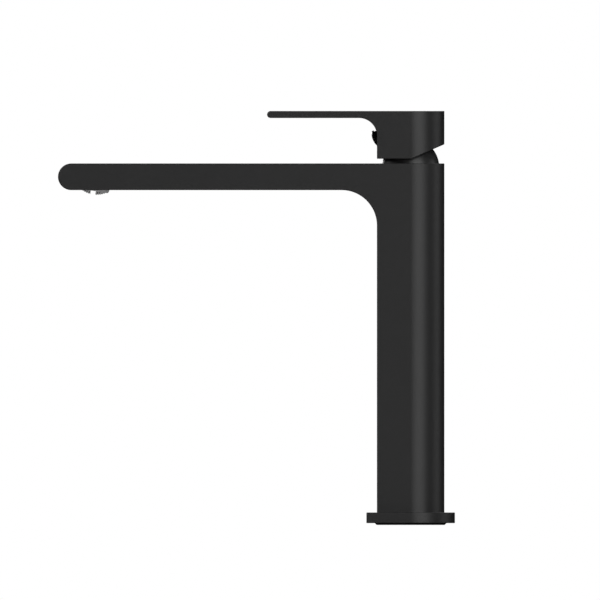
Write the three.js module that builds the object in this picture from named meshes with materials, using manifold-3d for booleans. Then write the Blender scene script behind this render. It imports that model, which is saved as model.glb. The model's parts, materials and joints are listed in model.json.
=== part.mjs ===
// Tall single-lever basin mixer with a ceramic-disc cartridge and a ball-jointed aerator.
// Millimetres, +Z up. Z = 0 is the deck it stands on, the Z axis is the column's axis and the
// axis its handle turns about, and the spout and the lever point along -Y.
import * as THREE from 'three';
import { mergeVertices } from 'three/addons/utils/BufferGeometryUtils.js';
import Module from 'manifold-3d';

const wasm = await Module();
wasm.setup();

// ---- driving dimensions ---------------------------------------------------------------

const GAP = 0.3; // assembly clearance between neighbouring pieces
const WALL = 3; // cast wall of the body
const ROUND = 32; // sides of a large circle
const SMALL_ROUND = 16; // sides of a small circle
const ARC_STEPS = 10; // curve divisions of the outlines

const COLUMN_HALF = 24; // half width of column, spout, lever and block; radius of their round back
const BODY_TOP = 257.3;
const SPOUT_REACH = 251; // column axis to spout tip
const SPOUT_THICK = 19;
const SPOUT_FILLET = 25.25;
const SPOUT_BOTTOM = BODY_TOP - SPOUT_THICK;
const TOTAL_HEIGHT = 294.6;

const SEAL_TOP = 1.6;
const SEAL_HALF = 25.5;
const SEAL_CHAMFER = 1.3;
const PLATE_BOTTOM = 1.3;
const PLATE_TOP = 8.9;
const PLATE_HALF = 31.5;
const PLATE_RECESS = 0.8; // the column stands this deep in the plate
const CASING_BOTTOM = PLATE_TOP - PLATE_RECESS + GAP;

const BLOCK_TOP = 31; // brass foot block inside the column
const BOSS_BOTTOM = 0.4;
const BOSS_RADIUS = 6.6;
const SUPPLY_X = 8.2; // hot and cold water rise at x = -8.2 and +8.2
const SUPPLY_Y = -3.4;
const INLET_RADIUS = 4.45; // tapping hole of an M10 x 1 hose thread
const INLET_DEPTH = 12;
const STUD_Y = 12.5;
const STUD_RADIUS = 3.4; // tapping hole of an M8 stud thread
const STUD_BOSS_RADIUS = 5.8;
const STUD_DEPTH = 18;
const PASSAGE_RADIUS = 3;
const FOOT_SCREW_XY = 15.5; // the two foot screws stand in the column's square front corners
const FOOT_SCREW_RADIUS = 2;
const LUG_TOP = 42;

const RISER_RADIUS = 4;
const RISER_BORE = 3.1;
const RISER_BOTTOM = 18.3;
const RISER_TOP = 202.7;
const GROOVE_HEIGHT = 2.2;
const RISER_GROOVE_RADIUS = 5.9;

const WEB_BOTTOM = 196; // cross wall of the body that carries the cartridge seat
const WEB_TOP = 200;
const SEAT_SPIGOT_RADIUS = 17.2;
const SEAT_FLANGE_RADIUS = 20.2;
const CUP_FLOOR = 222;
const CUP_BORE = 17.7;
const CUP_TOP = 253.3;
const COLLAR_BOTTOM = 245;
const COLLAR_BORE = 20.6;

const HOUSING_RADIUS = 17.4; // a 35 mm cartridge
const HOUSING_BOTTOM = 228;
const HOUSING_TOP = 249;
const HOUSING_BORE = 15.9;
const ROTOR_RADIUS = 11.8;
const ROTOR_FLANGE_RADIUS = 13.4;
const ROTOR_TOP = 262.5;
const SLOT_HALF = 4.3; // rotor slot that guides spindle and disc carrier
const PIVOT_Z = 254.7; // height of the axis the lever lifts about
const PIN_RADIUS = 1.5;
const SPINDLE_HALF = 4;
const SPINDLE_TOP = 286;
const TOE_DROP = 12; // pivot to the centre of the spindle's ball toe
const TOE_RADIUS = 2.85;
const DISC_OFFSET = 2.5; // the moving disc starts this far behind the axis, with the water shut
const OUTLET_PORT_Y = 7;

const DOME_RADIUS = 20.35;
const DOME_SHELL = 1.55;
const DOME_MOUTH = 13.3;

const LEVER_REACH = 102.2;
const LEVER_THICK = 5;
const LEVER_FILLET = 12.8;
const HANDLE_BOTTOM = 260.6;
const HANDLE_SLOPE = THREE.MathUtils.degToRad(23.5); // underside behind its bend
const HANDLE_BEND = 0.35; // the underside is level up to here
const HANDLE_WALL = 3.2;
const HANDLE_CUP_RADIUS = 21; // hollow that swings over the dome

const PLUG_Y = -25.6; // centre of the plug's rim
const PLUG_Z = 274.93;
const PLUG_DIP = THREE.MathUtils.degToRad(21.2); // the plug looks down this far
const PLUG_RADIUS = 5.84;
const PLUG_CROWN = 1.54;
const PLUG_HEAD = 1.45; // thickness of the head behind its rim
const PLUG_SHOULDER = 5; // radius of the step behind the head
const PLUG_SHOULDER_END = 3.2; // rim to the back of that step
const PLUG_SHANK = 4.1;
const GRUB_RADIUS = 2.5;

const NOZZLE_Y = -224.9; // centre of the aerator's ball
const NOZZLE_Z = 242.4;
const NOZZLE_TILT = THREE.MathUtils.degToRad(-8); // the jet leans forward, away from the column
const BALL_RADIUS = 11.4;
const BALL_FACE = 5; // ball centre to its flat face
const BALL_TOP = 2.8;
const INSERT_RADIUS = 8.9;
const INSERT_CROWN = 2.4;
const COIN_SLOT = 3.6;
const COIN_SLOT_Y = -0.3; // middle of the slot, from the ball's centre
const COIN_SLOT_INTO_FACE = 0.27;

// ---- materials ------------------------------------------------------------------------

function finish(color, roughness, metalness = 0) {
  return new THREE.MeshStandardMaterial({ color, roughness, metalness });
}

const blackCoat = finish(0x1c1c1d, 0.55);
const blackGloss = finish(0x0a0a0b, 0.15);
const blackRubber = finish(0x18181a, 0.85);
const greyPlastic = finish(0x8a8c8e, 0.5);
const whitePlastic = finish(0xe4e2dc, 0.5);
const bluePlastic = finish(0x2b5fa8, 0.5);
const brass = finish(0xb8924a, 0.35, 1);
const copper = finish(0xb06a48, 0.35, 1);
const steel = finish(0xa8abb0, 0.3, 1);
const ceramic = finish(0xf2f0ea, 0.3);

// ---- from geometry to solid and back --------------------------------------------------

function solid(geometry) {
  const bare = geometry.clone();
  bare.deleteAttribute('normal');
  bare.deleteAttribute('uv');
  const shell = mergeVertices(bare);
  const index = shell.index.array;
  const corners = [];
  for (let i = 0; i < index.length; i += 3) {
    const [a, b, c] = [index[i], index[i + 1], index[i + 2]];
    if (a !== b && b !== c && c !== a) corners.push(a, b, c);
  }
  return new wasm.Manifold(new wasm.Mesh({
    numProp: 3,
    vertProperties: new Float32Array(shell.attributes.position.array),
    triVerts: new Uint32Array(corners),
  }));
}

function piece(name, shape, material) {
  const { vertProperties, triVerts } = shape.getMesh();
  const geometry = new THREE.BufferGeometry();
  geometry.setAttribute('position', new THREE.BufferAttribute(vertProperties, 3));
  geometry.setIndex(new THREE.BufferAttribute(triVerts, 1));
  geometry.computeVertexNormals();
  const mesh = new THREE.Mesh(geometry, material);
  mesh.name = name;
  return mesh;
}

// ---- basic solids ---------------------------------------------------------------------

function cone(lowRadius, highRadius, bottom, top, x = 0, y = 0, sides = ROUND) {
  const geometry = new THREE.CylinderGeometry(highRadius, lowRadius, top - bottom, sides);
  geometry.rotateX(Math.PI / 2);
  geometry.translate(x, y, (bottom + top) / 2);
  return solid(geometry);
}

function cylinder(radius, bottom, top, x = 0, y = 0, sides = ROUND) {
  return cone(radius, radius, bottom, top, x, y, sides);
}

function rod(radius, bottom, top, x = 0, y = 0) {
  return cylinder(radius, bottom, top, x, y, SMALL_ROUND);
}

function ring(outer, inner, bottom, top, x = 0, y = 0, sides = ROUND) {
  const hole = cylinder(inner, bottom - 1, top + 1, x, y, sides);
  return cylinder(outer, bottom, top, x, y, sides).subtract(hole);
}

function oRing(radius, section, x, y, z, sides = ROUND) {
  const geometry = new THREE.TorusGeometry(radius, section, 6, sides);
  geometry.translate(x, y, z);
  return solid(geometry);
}

function box(halfWidth, front, back, bottom, top, x = 0) {
  const geometry = new THREE.BoxGeometry(2 * halfWidth, back - front, top - bottom);
  geometry.translate(x, (front + back) / 2, (bottom + top) / 2);
  return solid(geometry);
}

function ball(radius, y, z, sides = ROUND) {
  const geometry = new THREE.SphereGeometry(radius, sides, sides / 2);
  geometry.rotateX(Math.PI / 2);
  geometry.translate(0, y, z);
  return solid(geometry);
}

// Plan outline shared by column, plate and handle: square in front, round behind.
function columnPlan(half, front = half) {
  const plan = new THREE.Shape();
  plan.moveTo(-half, -front);
  plan.lineTo(half, -front);
  plan.lineTo(half, 0);
  plan.absarc(0, 0, half, 0, Math.PI, false);
  plan.closePath();
  return plan;
}

function columnPrism(half, bottom, top, front = half) {
  const depth = top - bottom;
  const geometry = new THREE.ExtrudeGeometry(columnPlan(half, front), {
    depth,
    bevelEnabled: false,
    curveSegments: ARC_STEPS,
  });
  geometry.translate(0, 0, bottom);
  return solid(geometry);
}

// A side outline drawn in (Y, Z), pushed out to both sides along X.
function sideSlab(outline, halfWidth) {
  const geometry = new THREE.ExtrudeGeometry(outline, {
    depth: 2 * halfWidth,
    bevelEnabled: false,
    curveSegments: ARC_STEPS,
  });
  geometry.translate(0, 0, -halfWidth);
  const yzToXy = new THREE.Matrix4().makeBasis(
    new THREE.Vector3(0, 1, 0),
    new THREE.Vector3(0, 0, 1),
    new THREE.Vector3(1, 0, 0),
  );
  geometry.applyMatrix4(yzToXy);
  return solid(geometry);
}

// Outline of an arm that runs forward from the column with a round tip and a filleted root.
function armOutline(reach, thick, fillet, top, rearBottom, bend) {
  const tip = thick / 2;
  const bottom = top - thick;
  const outline = new THREE.Shape();
  outline.moveTo(COLUMN_HALF, rearBottom);
  outline.lineTo(COLUMN_HALF, top);
  outline.lineTo(tip - reach, top);
  outline.absarc(tip - reach, top - tip, tip, Math.PI / 2, 1.5 * Math.PI, false);
  outline.lineTo(-COLUMN_HALF - fillet, bottom);
  outline.absarc(-COLUMN_HALF - fillet, bottom - fillet, fillet, Math.PI / 2, 0, true);
  outline.lineTo(-COLUMN_HALF, bend);
  outline.lineTo(HANDLE_BEND, bend);
  outline.closePath();
  return outline;
}

// ---- foot -----------------------------------------------------------------------------

function footSeal() {
  const plan = columnPlan(SEAL_HALF - SEAL_CHAMFER);
  const geometry = new THREE.ExtrudeGeometry(plan, {
    depth: SEAL_TOP,
    bevelThickness: SEAL_CHAMFER,
    bevelSize: SEAL_CHAMFER,
    bevelSegments: 1,
    curveSegments: ARC_STEPS,
  });
  geometry.translate(0, 0, SEAL_CHAMFER);
  let seal = solid(geometry).intersect(box(SEAL_HALF + 1, -SEAL_HALF - 1, SEAL_HALF + 1, 0, SEAL_TOP));
  for (const x of [-SUPPLY_X, SUPPLY_X]) {
    seal = seal.subtract(rod(BOSS_RADIUS + GAP, -1, SEAL_TOP + 1, x, SUPPLY_Y));
  }
  seal = seal.subtract(rod(STUD_BOSS_RADIUS + GAP, -1, SEAL_TOP + 1, 0, STUD_Y));
  return piece('foot_seal', seal, blackRubber);
}

function basePlate() {
  const plate = columnPrism(PLATE_HALF, PLATE_BOTTOM, PLATE_TOP)
    .subtract(columnPrism(COLUMN_HALF + GAP, PLATE_TOP - PLATE_RECESS, PLATE_TOP + 1))
    .subtract(columnPrism(COLUMN_HALF - WALL, PLATE_BOTTOM - 1, PLATE_TOP))
    .subtract(columnPrism(SEAL_HALF + GAP, PLATE_BOTTOM - 1, SEAL_TOP + GAP));
  return piece('base_plate', plate, blackCoat);
}

function footBlock() {
  const half = COLUMN_HALF - WALL - GAP;
  const underside = SEAL_TOP + GAP;
  let block = columnPrism(half, underside, BLOCK_TOP);
  block = block.add(rod(STUD_BOSS_RADIUS, BOSS_BOTTOM, underside + 1, 0, STUD_Y));
  for (const side of [-1, 1]) {
    const x = side * SUPPLY_X;
    block = block.add(rod(BOSS_RADIUS, BOSS_BOTTOM, underside + 1, x, SUPPLY_Y));
  }
  block = block.subtract(rod(STUD_RADIUS, BOSS_BOTTOM - 1, STUD_DEPTH, 0, STUD_Y));
  const grooveBottom = BLOCK_TOP - 8;
  for (const side of [-1, 1]) {
    const x = side * SUPPLY_X;
    const screwX = side * FOOT_SCREW_XY;
    block = block
      .subtract(rod(INLET_RADIUS, BOSS_BOTTOM - 1, INLET_DEPTH, x, SUPPLY_Y))
      .subtract(rod(PASSAGE_RADIUS, INLET_DEPTH - 1, RISER_BOTTOM, x, SUPPLY_Y))
      .subtract(rod(RISER_RADIUS + GAP, RISER_BOTTOM - GAP, BLOCK_TOP + 1, x, SUPPLY_Y))
      .subtract(rod(RISER_GROOVE_RADIUS, grooveBottom, grooveBottom + GROOVE_HEIGHT, x, SUPPLY_Y))
      .subtract(rod(2 * FOOT_SCREW_RADIUS, underside - 1, 7, screwX, -FOOT_SCREW_XY))
      .subtract(rod(FOOT_SCREW_RADIUS + GAP, 6, BLOCK_TOP + 1, screwX, -FOOT_SCREW_XY));
  }
  return piece('foot_block', block, brass);
}

function footScrew(name, x) {
  const hexSocket = cylinder(1.7, 1.5, 4.6, x, -FOOT_SCREW_XY, 6);
  const screw = rod(3.6, 2.6, 6.7, x, -FOOT_SCREW_XY)
    .add(rod(FOOT_SCREW_RADIUS, 6, LUG_TOP - 2, x, -FOOT_SCREW_XY))
    .subtract(hexSocket);
  return piece(name, screw, steel);
}

// ---- body casing ----------------------------------------------------------------------

function casingOutside() {
  const outline = armOutline(
    SPOUT_REACH, SPOUT_THICK, SPOUT_FILLET, BODY_TOP, CASING_BOTTOM, CASING_BOTTOM,
  );
  const plan = columnPrism(COLUMN_HALF, CASING_BOTTOM - 1, BODY_TOP + 1, SPOUT_REACH + 1);
  return sideSlab(outline, COLUMN_HALF).intersect(plan);
}

function spoutChannel() {
  const radius = SPOUT_THICK / 2 - WALL;
  const end = SPOUT_THICK / 2 - SPOUT_REACH;
  const middle = BODY_TOP - SPOUT_THICK / 2;
  const outline = new THREE.Shape();
  outline.moveTo(-COLUMN_HALF + 2 * WALL, middle + radius);
  outline.lineTo(end, middle + radius);
  outline.absarc(end, middle, radius, Math.PI / 2, 1.5 * Math.PI, false);
  outline.lineTo(-COLUMN_HALF + 2 * WALL, middle - radius);
  outline.closePath();
  const tower = cylinder(16.6, SPOUT_BOTTOM, NOZZLE_Z + 8, 0, NOZZLE_Y);
  const collar = cylinder(COLLAR_BORE + 2.2, COLLAR_BOTTOM, BODY_TOP);
  return sideSlab(outline, COLUMN_HALF - WALL).subtract(tower).subtract(collar);
}

function bodyCasing() {
  const inner = COLUMN_HALF - WALL;
  let casing = casingOutside()
    .subtract(columnPrism(inner, CASING_BOTTOM - 1, WEB_BOTTOM))
    .subtract(cylinder(SEAT_SPIGOT_RADIUS + GAP, WEB_BOTTOM - 1, WEB_TOP + 1))
    .subtract(columnPrism(inner, WEB_TOP, COLLAR_BOTTOM))
    .subtract(cylinder(COLLAR_BORE, COLLAR_BOTTOM - 1, BODY_TOP + 1))
    .subtract(spoutChannel())
    .subtract(cylinder(14.2, SPOUT_BOTTOM - 1, NOZZLE_Z + 6, 0, NOZZLE_Y))
    .subtract(cylinder(10, NOZZLE_Z + 5, NOZZLE_Z + 9, 0, NOZZLE_Y));
  for (const side of [-1, 1]) {
    const lugX = side * (inner - 4.5);
    const lug = box(5, -inner - 1, -inner + 10, BLOCK_TOP + GAP, LUG_TOP, lugX)
      .subtract(rod(FOOT_SCREW_RADIUS + GAP, BLOCK_TOP, LUG_TOP + 1, side * FOOT_SCREW_XY, -FOOT_SCREW_XY));
    casing = casing.add(lug);
  }
  return piece('body_casing', casing, blackCoat);
}

// ---- water pipes and cartridge seat ---------------------------------------------------

function riser(name, x) {
  const tube = ring(RISER_RADIUS, RISER_BORE, RISER_BOTTOM, RISER_TOP, x, SUPPLY_Y, SMALL_ROUND);
  return piece(name, tube, copper);
}

function riserORing(name, x, z) {
  return piece(name, oRing(4.95, 0.6, x, SUPPLY_Y, z, SMALL_ROUND), blackRubber);
}

function cartridgeSeat() {
  const cupOuter = COLLAR_BORE - 0.5;
  const threadBore = CUP_BORE + 0.9;
  let seat = cylinder(SEAT_SPIGOT_RADIUS, WEB_BOTTOM - 6, WEB_TOP + 1)
    .subtract(ring(20, 15.9, WEB_BOTTOM + 0.7, WEB_BOTTOM + 0.7 + GROOVE_HEIGHT))
    .add(cylinder(SEAT_FLANGE_RADIUS, WEB_TOP + GAP, WEB_TOP + 6))
    .add(cylinder(19.4, CUP_FLOOR - 4, COLLAR_BOTTOM + 1))
    .add(cylinder(cupOuter, COLLAR_BOTTOM + 0.5, CUP_TOP));
  for (const x of [-SUPPLY_X, SUPPLY_X]) {
    seat = seat.add(rod(6.2, WEB_TOP + 5, CUP_FLOOR - 3, x, SUPPLY_Y));
  }
  seat = seat
    .subtract(cylinder(CUP_BORE, CUP_FLOOR, CUP_TOP + 1))
    .subtract(cylinder(threadBore, HOUSING_TOP, CUP_TOP + 1))
    .subtract(ring(22, 18.9, COLLAR_BOTTOM + 1.5, COLLAR_BOTTOM + 1.5 + GROOVE_HEIGHT))
    .subtract(rod(4, CUP_FLOOR - 5, CUP_FLOOR + 1, 0, OUTLET_PORT_Y));
  for (const x of [-SUPPLY_X, SUPPLY_X]) {
    seat = seat
      .subtract(rod(RISER_RADIUS + GAP, WEB_BOTTOM - 7, RISER_TOP + GAP, x, SUPPLY_Y))
      .subtract(rod(RISER_GROOVE_RADIUS, WEB_BOTTOM - 3, WEB_BOTTOM - 3 + GROOVE_HEIGHT, x, SUPPLY_Y))
      .subtract(rod(PASSAGE_RADIUS, RISER_TOP, CUP_FLOOR + 1, x, SUPPLY_Y));
  }
  return piece('cartridge_seat', seat, brass);
}

function portSeal(name, x, y) {
  return piece(name, ring(4.8, 3.4, CUP_FLOOR + GAP, CUP_FLOOR + 2.7, x, y, SMALL_ROUND), blackRubber);
}

// ---- cartridge ------------------------------------------------------------------------

function cartridgeBase() {
  const bottom = CUP_FLOOR + 1.6;
  let base = cylinder(HOUSING_RADIUS - 0.1, bottom, HOUSING_BOTTOM - GAP)
    .add(cylinder(HOUSING_BORE - GAP, HOUSING_BOTTOM - 1, HOUSING_BOTTOM + 2.2));
  const ports = [[-SUPPLY_X, SUPPLY_Y], [SUPPLY_X, SUPPLY_Y], [0, OUTLET_PORT_Y]];
  for (const [x, y] of ports) {
    base = base
      .subtract(rod(5.1, bottom - 1, bottom + 1.4, x, y))
      .subtract(rod(PASSAGE_RADIUS, bottom, HOUSING_BOTTOM + 3, x, y));
  }
  return piece('cartridge_base', base, whitePlastic);
}

function portedDisc(name, radius, bottom, top, inletX, inletRadius, material) {
  const inlets = [-inletX, inletX];
  let disc = cylinder(radius, bottom, top)
    .subtract(rod(PASSAGE_RADIUS, bottom - 1, top + 1, 0, OUTLET_PORT_Y));
  for (const x of inlets) {
    disc = disc.subtract(rod(inletRadius, bottom - 1, top + 1, x, SUPPLY_Y));
  }
  return piece(name, disc, material);
}

function cartridgeHousing() {
  const lip = HOUSING_TOP - 2.5;
  const housing = cylinder(HOUSING_RADIUS, HOUSING_BOTTOM, HOUSING_TOP)
    .subtract(cylinder(HOUSING_BORE, HOUSING_BOTTOM - 1, lip))
    .subtract(cylinder(ROTOR_RADIUS + GAP, lip - 1, HOUSING_TOP + 1));
  return piece('cartridge_housing', housing, whitePlastic);
}

function movingDisc() {
  const bottom = 235;
  const pocket = cylinder(11.3, bottom - 1, bottom + 1.8, 0, DISC_OFFSET)
    .intersect(box(13, -0.3, 20, bottom - 1, bottom + 2));
  const disc = cylinder(12.5, bottom, bottom + 2.9, 0, DISC_OFFSET).subtract(pocket);
  return piece('moving_disc', disc, ceramic);
}

function discCarrier() {
  const plateTop = 240.4;
  const toe = PIVOT_Z - TOE_DROP;
  const carrier = cylinder(12.5, plateTop - 2.2, plateTop, 0, DISC_OFFSET)
    .add(box(SLOT_HALF - GAP, -5.5, 5.5, plateTop - 1, toe + 2.2))
    .subtract(box(3.15, -3.2, 3.2, toe - TOE_RADIUS - GAP, toe + 3));
  return piece('disc_carrier', carrier, bluePlastic);
}

function cartridgeRotor() {
  const flangeTop = HOUSING_TOP - 2.8;
  const pin = new THREE.CylinderGeometry(PIN_RADIUS + GAP, PIN_RADIUS + GAP, 30, SMALL_ROUND);
  pin.rotateZ(Math.PI / 2);
  pin.translate(0, 0, PIVOT_Z);
  const rotor = cylinder(ROTOR_FLANGE_RADIUS, 240.7, flangeTop)
    .add(cylinder(ROTOR_RADIUS, flangeTop - 1, ROTOR_TOP))
    .subtract(box(SLOT_HALF, -11, 11, 240, flangeTop))
    .subtract(box(SLOT_HALF, -9.6, 9.6, flangeTop - 1, ROTOR_TOP + 1))
    .subtract(solid(pin));
  return piece('cartridge_rotor', rotor, bluePlastic);
}

function pivotPin() {
  const pin = new THREE.CylinderGeometry(PIN_RADIUS, PIN_RADIUS, 22.4, SMALL_ROUND);
  pin.rotateZ(Math.PI / 2);
  pin.translate(0, 0, PIVOT_Z);
  return piece('pivot_pin', solid(pin), steel);
}

function spindle() {
  const toe = PIVOT_Z - TOE_DROP;
  const eye = new THREE.CylinderGeometry(PIN_RADIUS + GAP, PIN_RADIUS + GAP, 30, SMALL_ROUND);
  eye.rotateZ(Math.PI / 2);
  eye.translate(0, 0, PIVOT_Z);
  const stem = box(SPINDLE_HALF, -SPINDLE_HALF, SPINDLE_HALF, PIVOT_Z - 4, SPINDLE_TOP)
    .add(cone(1.9, 3.8, PIVOT_Z - 8, PIVOT_Z - 3, 0, 0, SMALL_ROUND))
    .add(rod(1.9, toe, PIVOT_Z - 7))
    .add(ball(TOE_RADIUS, 0, toe, SMALL_ROUND))
    .subtract(solid(eye));
  return piece('spindle', stem, brass);
}

function temperatureLimiter() {
  const bottom = HOUSING_TOP + GAP;
  const top = bottom + 3.4;
  let limiter = ring(14.4, 12.2, bottom, top);
  const notches = 16;
  for (let i = 0; i < notches; i++) {
    const angle = (2 * Math.PI * i) / notches;
    const [x, y] = [14.6 * Math.cos(angle), 14.6 * Math.sin(angle)];
    limiter = limiter.subtract(cylinder(0.8, bottom + 1.6, top + 1, x, y, 8));
  }
  return piece('temperature_limiter', limiter, bluePlastic);
}

function cartridgeNut() {
  const bottom = HOUSING_TOP + GAP;
  const threadTop = CUP_TOP;
  const top = 260.5;
  let nut = cylinder(18.3, bottom, threadTop)
    .add(cylinder(17.55, threadTop - 1, 257.4))
    .add(cylinder(17.1, 257, top))
    .subtract(cylinder(14.8, bottom - 1, top + 1));
  const wrenchSlots = 3;
  for (let i = 0; i < wrenchSlots; i++) {
    const slot = box(2, -20, 20, top - 2.2, top + 1).rotate([0, 0, (180 * i) / wrenchSlots]);
    nut = nut.subtract(slot);
  }
  return piece('cartridge_nut', nut, brass);
}

function domeCover() {
  const inside = DOME_RADIUS - DOME_SHELL;
  const bottom = PIVOT_Z - 1;
  const shell = ball(DOME_RADIUS, 0, PIVOT_Z)
    .intersect(cylinder(DOME_RADIUS + 1, PIVOT_Z, PIVOT_Z + 30))
    .add(cylinder(DOME_RADIUS - 0.05, bottom, PIVOT_Z + 0.5))
    .subtract(ball(inside, 0, PIVOT_Z).intersect(cylinder(inside + 1, 257.2, 280)))
    .subtract(cylinder(17.9, bottom - 1, 257.3))
    .subtract(cylinder(DOME_MOUTH, 257, 280));
  return piece('dome_cover', shell, blackCoat);
}

// ---- handle ---------------------------------------------------------------------------

// Axis of plug and grub screw: local +Z looks out of the block's front, dipped below level.
function alongPlug(object) {
  object.position.set(0, PLUG_Y, PLUG_Z);
  object.rotation.x = Math.PI / 2 + PLUG_DIP;
  return object;
}

function plugBore(radius, from, to) {
  const geometry = new THREE.CylinderGeometry(radius, radius, to - from, SMALL_ROUND);
  geometry.rotateX(Math.PI / 2);
  geometry.translate(0, 0, (from + to) / 2);
  const place = alongPlug(new THREE.Object3D());
  place.updateMatrix();
  geometry.applyMatrix4(place.matrix);
  return solid(geometry);
}

function handle() {
  const rear = HANDLE_BOTTOM + (COLUMN_HALF - HANDLE_BEND) * Math.tan(HANDLE_SLOPE);
  const outline = armOutline(LEVER_REACH, LEVER_THICK, LEVER_FILLET, TOTAL_HEIGHT, rear, HANDLE_BOTTOM);
  const plan = columnPrism(COLUMN_HALF, HANDLE_BOTTOM - 1, TOTAL_HEIGHT + 1, LEVER_REACH + 1);
  const inner = COLUMN_HALF - HANDLE_WALL;
  const roof = TOTAL_HEIGHT - LEVER_THICK;
  const boss = box(8, -inner - 1, 8, HANDLE_BOTTOM - 1, roof + 1);
  const pocket = columnPrism(inner, HANDLE_BOTTOM - 1, roof).subtract(boss);
  const socket = SPINDLE_HALF + GAP;
  const shape = sideSlab(outline, COLUMN_HALF).intersect(plan)
    .subtract(pocket)
    .subtract(ball(HANDLE_CUP_RADIUS, 0, PIVOT_Z))
    .subtract(box(socket, -socket, socket, PIVOT_Z + 15, SPINDLE_TOP + GAP))
    .subtract(plugBore(PLUG_RADIUS + GAP, -PLUG_HEAD - GAP, 5))
    .subtract(plugBore(PLUG_SHOULDER + GAP, -PLUG_SHOULDER_END - GAP, 0))
    .subtract(plugBore(PLUG_SHANK + GAP, -7.3, 0))
    .subtract(plugBore(GRUB_RADIUS + GAP, -23, -7));
  return piece('handle', shape, blackCoat);
}

function handleScrew() {
  const screw = cylinder(GRUB_RADIUS, -21.6, -12.5, 0, 0, SMALL_ROUND)
    .subtract(cylinder(1.45, -15.5, -12, 0, 0, 6));
  return alongPlug(piece('handle_screw', screw, steel));
}

function handlePlug() {
  const crownRadius = (PLUG_RADIUS ** 2 + PLUG_CROWN ** 2) / (2 * PLUG_CROWN);
  const crown = ball(crownRadius, 0, PLUG_CROWN - crownRadius)
    .intersect(cylinder(PLUG_RADIUS, -0.5, PLUG_CROWN + 1));
  const plug = cylinder(PLUG_RADIUS, -PLUG_HEAD, 0)
    .add(crown)
    .add(cylinder(PLUG_SHOULDER, -PLUG_SHOULDER_END, -0.5))
    .add(cylinder(PLUG_SHANK, -7, -1, 0, 0, SMALL_ROUND));
  return alongPlug(piece('handle_plug', plug, blackGloss));
}

// ---- aerator --------------------------------------------------------------------------

// Pieces in this group are drawn about the ball's centre.
function aeratorHousing() {
  const bottom = SPOUT_BOTTOM + 0.2 - NOZZLE_Z;
  const housing = cylinder(13.9, bottom, 4.6)
    .subtract(cylinder(12.9, bottom + 0.7, 5.6))
    .subtract(ball(BALL_RADIUS + 0.4, 0, 0));
  return piece('aerator_housing', housing, greyPlastic);
}

function swivelSeat() {
  const seat = cylinder(12.6, -2.9, -0.1).subtract(ball(BALL_RADIUS + 0.25, 0, 0));
  return piece('swivel_seat', seat, whitePlastic);
}

function coinSlot() {
  return box(BALL_RADIUS + 1, COIN_SLOT_Y - COIN_SLOT / 2, COIN_SLOT_Y + COIN_SLOT / 2,
    -BALL_FACE - 4, COIN_SLOT_INTO_FACE - BALL_FACE);
}

function aeratorBall() {
  const body = ball(BALL_RADIUS, 0, 0)
    .intersect(cylinder(BALL_RADIUS + 1, -BALL_FACE, BALL_TOP))
    .subtract(cylinder(INSERT_RADIUS + GAP, -BALL_FACE - 1, 0.9))
    .subtract(cylinder(8.2, 0, BALL_TOP + 1))
    .subtract(coinSlot());
  return piece('aerator_ball', body, greyPlastic);
}

function jetInsert() {
  const crownRadius = (INSERT_RADIUS ** 2 + INSERT_CROWN ** 2) / (2 * INSERT_CROWN);
  const crownCentre = crownRadius - INSERT_CROWN - BALL_FACE;
  let insert = ball(crownRadius, 0, crownCentre)
    .intersect(cylinder(INSERT_RADIUS, -BALL_FACE - INSERT_CROWN - 1, -0.3))
    .subtract(coinSlot());
  const pitch = 3;
  for (const y of [-4.6, 4.6]) {
    for (let column = -2; column <= 2; column++) {
      insert = insert.subtract(cylinder(0.9, -9, 1, pitch * column, y, 8));
    }
  }
  return piece('jet_insert', insert, greyPlastic);
}

function flowScreen() {
  let screen = cylinder(INSERT_RADIUS, 0, 0.6);
  const holes = 8;
  for (let i = 0; i < holes; i++) {
    const angle = (2 * Math.PI * i) / holes;
    screen = screen.subtract(cylinder(1.3, -1, 2, 5.6 * Math.cos(angle), 5.6 * Math.sin(angle), 8));
  }
  return piece('flow_screen', screen, steel);
}

// ---- assembly -------------------------------------------------------------------------

function foot() {
  const group = new THREE.Group();
  group.add(footSeal(), basePlate(), footBlock());
  group.add(footScrew('foot_screw_left', -FOOT_SCREW_XY), footScrew('foot_screw_right', FOOT_SCREW_XY));
  return group;
}

function waterway() {
  const group = new THREE.Group();
  const lowerRing = BLOCK_TOP - 8 + GROOVE_HEIGHT / 2;
  const upperRing = WEB_BOTTOM - 3 + GROOVE_HEIGHT / 2;
  for (const [supply, x] of [['hot', -SUPPLY_X], ['cold', SUPPLY_X]]) {
    group.add(riser(`${supply}_riser`, x));
    group.add(riserORing(`${supply}_riser_lower_o_ring`, x, lowerRing));
    group.add(riserORing(`${supply}_riser_upper_o_ring`, x, upperRing));
    group.add(portSeal(`${supply}_port_seal`, x, SUPPLY_Y));
  }
  const spigotRing = oRing(16.75, 0.5, 0, 0, WEB_BOTTOM + 0.7 + GROOVE_HEIGHT / 2);
  const cupRing = oRing(19.75, 0.5, 0, 0, COLLAR_BOTTOM + 1.5 + GROOVE_HEIGHT / 2);
  group.add(portSeal('outlet_port_seal', 0, OUTLET_PORT_Y));
  group.add(cartridgeSeat());
  group.add(piece('seat_o_ring', spigotRing, blackRubber));
  group.add(piece('cup_o_ring', cupRing, blackRubber));
  return group;
}

function cartridge() {
  const group = new THREE.Group();
  group.add(cartridgeBase());
  group.add(portedDisc('disc_gasket', 14.8, 230.5, 231.4, SUPPLY_X, PASSAGE_RADIUS, blackRubber));
  group.add(portedDisc('fixed_disc', 15, 231.7, 234.7, 7.6, 2.4, ceramic));
  group.add(movingDisc(), discCarrier(), cartridgeRotor(), pivotPin(), spindle());
  group.add(cartridgeHousing(), temperatureLimiter(), cartridgeNut());
  return group;
}

function lever() {
  const group = new THREE.Group();
  group.add(handle(), handleScrew(), handlePlug());
  return group;
}

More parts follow.
